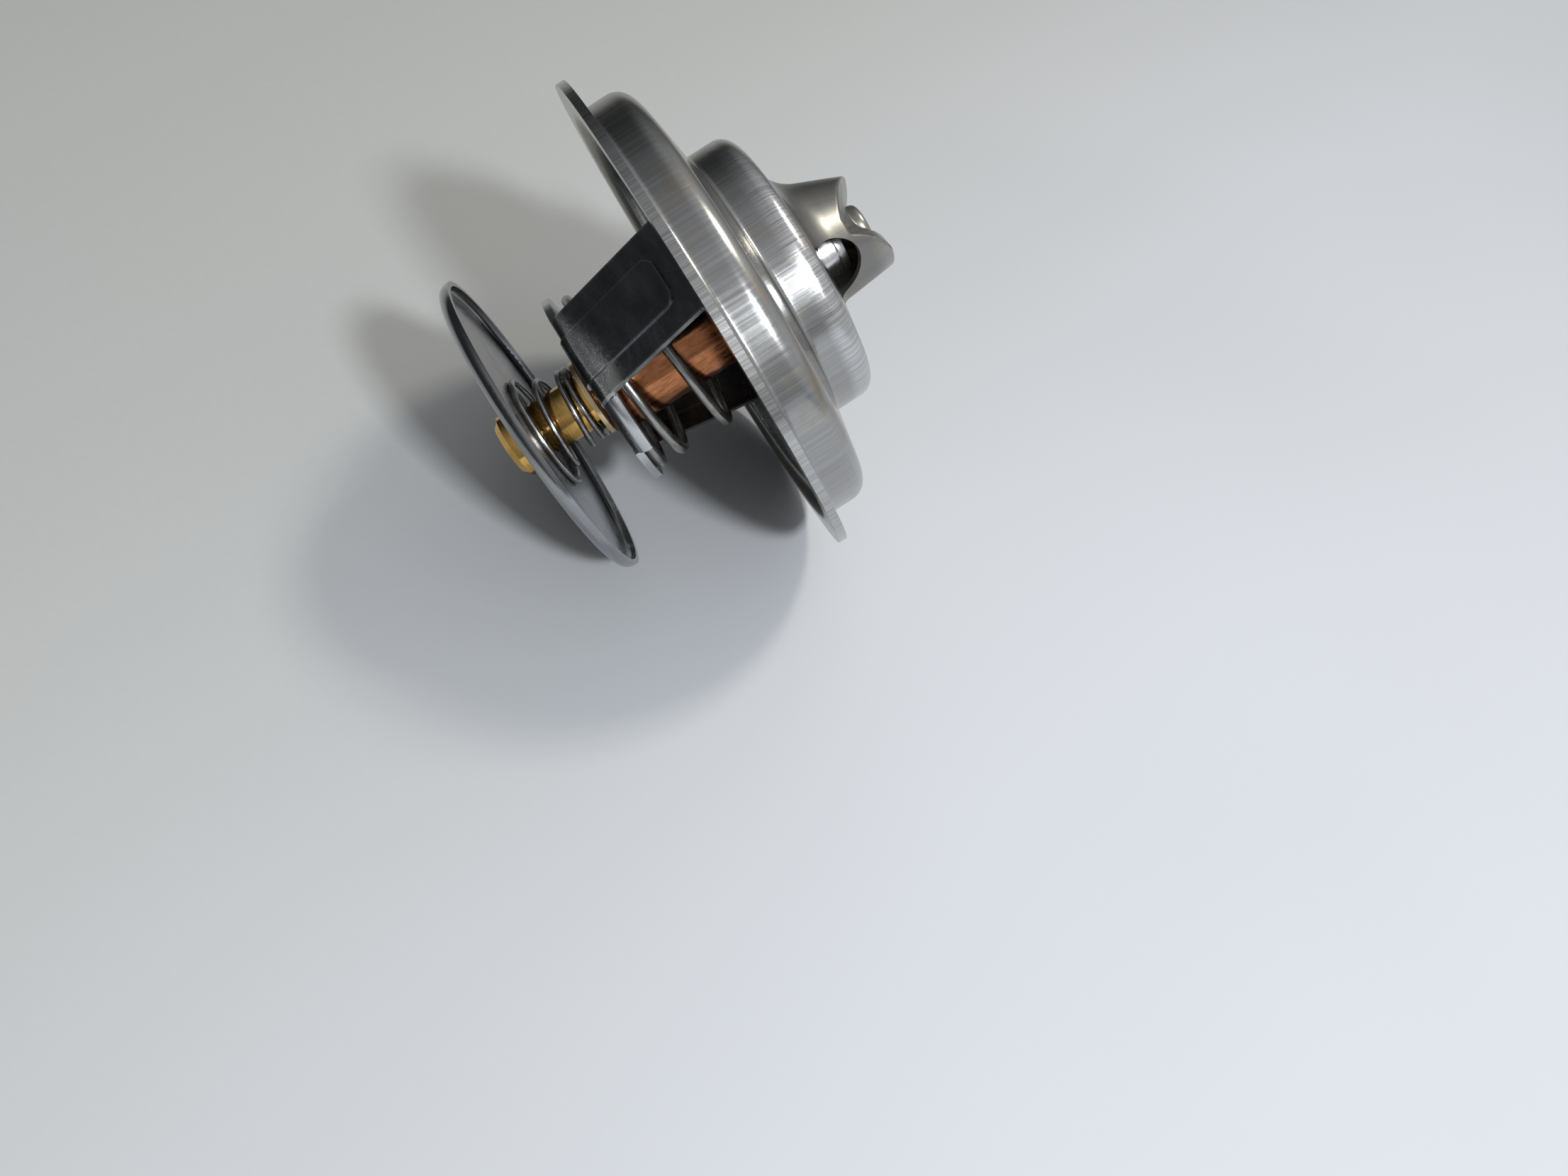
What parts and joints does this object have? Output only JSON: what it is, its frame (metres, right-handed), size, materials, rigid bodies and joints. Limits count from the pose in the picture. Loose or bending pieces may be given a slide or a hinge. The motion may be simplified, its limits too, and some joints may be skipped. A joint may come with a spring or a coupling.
{
  "type": "engine coolant valve with wax element",
  "caption": "Flanged stamped-steel coolant valve with a bridge, wax element, main spring in a legged frame and a sprung bypass disc.",
  "frame": {"origin": "centre of the flange's lower face, on the valve's axis", "axes": "+Z along the axis from the spring side to the bridge, the spring frame's legs at -Y and +Y"},
  "size_m": [0.067, 0.067, 0.0557],
  "materials": {
    "bright_stainless": "satin drawn sheet",
    "dark_steel": "dull drawn sheet",
    "ground_steel": "ground bright",
    "plate_steel": "satin",
    "black_rubber": "matte",
    "copper": "dull copper",
    "nose_steel": "turned bright",
    "wiper_rubber": "matte",
    "diaphragm_rubber": "matte",
    "white_pad": "matte",
    "wax": "waxy with copper powder",
    "stem_brass": "turned",
    "washer_brass": "stamped",
    "pan_steel": "satin",
    "spring_wire": "drawn wire",
    "fine_wire": "drawn wire"
  },
  "bodies": {
    "housing": {"dome_flange": "bright_stainless", "lower_frame": "dark_steel", "piston": "ground_steel", "main_spring": "spring_wire"},
    "valve": {"valve_plate": "plate_steel", "valve_seal": "black_rubber", "capsule_cup": "copper", "guide_nose": "nose_steel", "nose_cap": "nose_steel", "piston_wiper": "wiper_rubber", "diaphragm_plug": "diaphragm_rubber", "piston_pad": "white_pad", "wax_charge": "wax", "bypass_stem": "stem_brass", "spring_washer": "washer_brass", "bypass_spring": "fine_wire"},
    "bypass": {"bypass_pan": "pan_steel"}
  },
  "joints": [
    {"name": "valve_slide", "type": "slide", "parent": "housing", "child": "valve", "axis": [0, 0, -1], "range_m": [0, 0.008], "stiffness_N_per_m": 5000, "springref_m": -0.012, "deforming": ["main_spring"]},
    {"name": "bypass_slide", "type": "slide", "parent": "valve", "child": "bypass", "axis": [0, 0, 1], "range_m": [0, 0.004], "stiffness_N_per_m": 900, "springref_m": -0.004, "deforming": ["bypass_spring"]}
  ]
}
